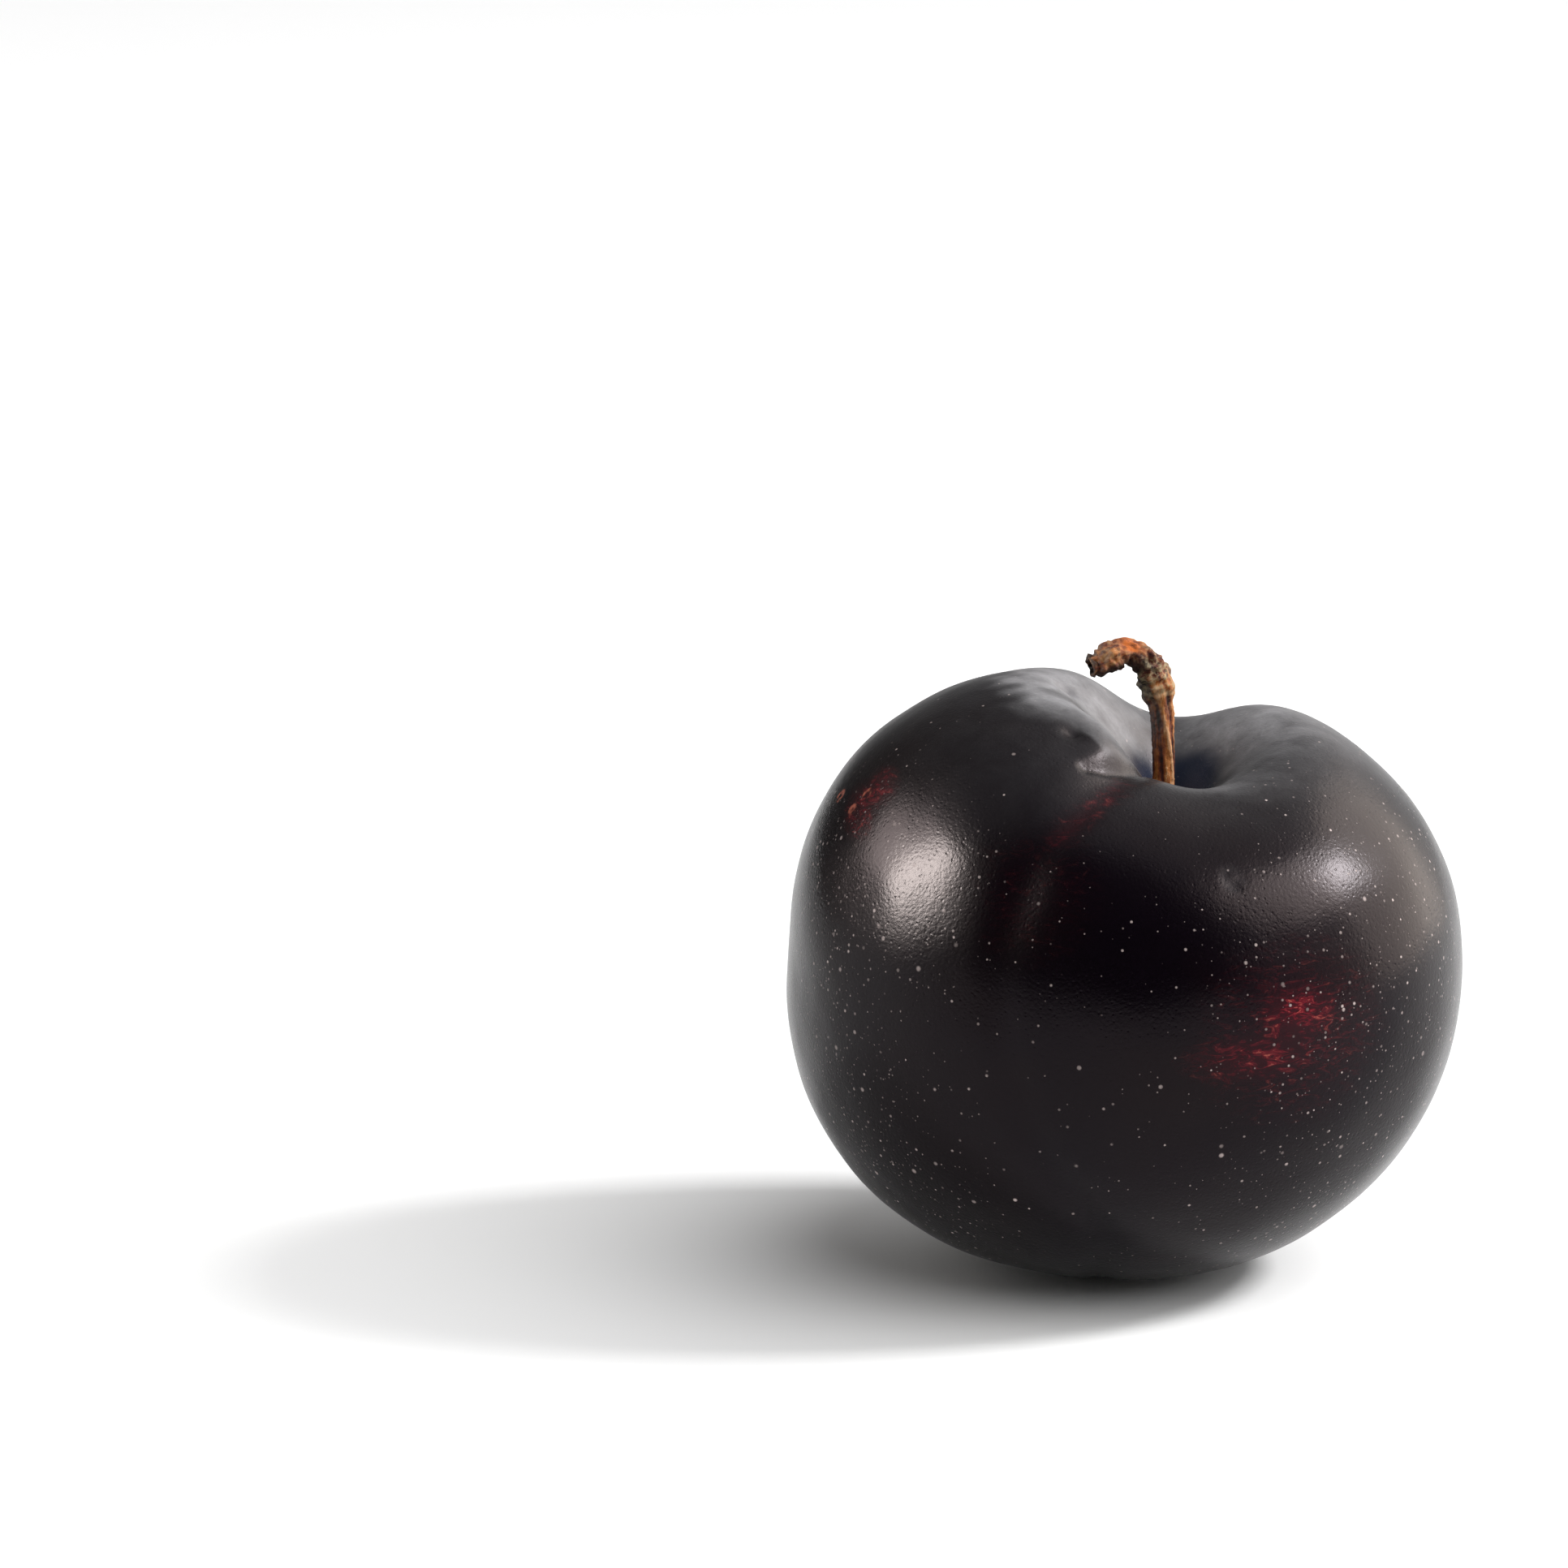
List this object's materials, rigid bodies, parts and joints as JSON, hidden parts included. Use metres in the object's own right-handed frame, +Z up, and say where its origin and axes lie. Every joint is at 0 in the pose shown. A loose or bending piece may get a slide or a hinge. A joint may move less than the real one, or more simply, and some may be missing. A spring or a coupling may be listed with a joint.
{
  "type": "plum",
  "caption": "Ripe, nearly black plum with a waxy skin, shallow suture, deep stem cavity and a broken, hooked woody stem.",
  "frame": {"origin": "on the flat rest spot under the fruit, at the surface that it stands on", "axes": "+Z up along the stem, +X along the fruit's width towards its right cheek, -Y towards the side with the suture"},
  "size_m": [0.0587, 0.0534, 0.056],
  "materials": {
    "skin": "waxy semi-gloss dark skin with pale dots and red flecks",
    "stem_bark": "dry rough bark with a torn orange end"
  },
  "bodies": {
    "root": {"fruit": "skin", "stem": "stem_bark"}
  },
  "joints": []
}
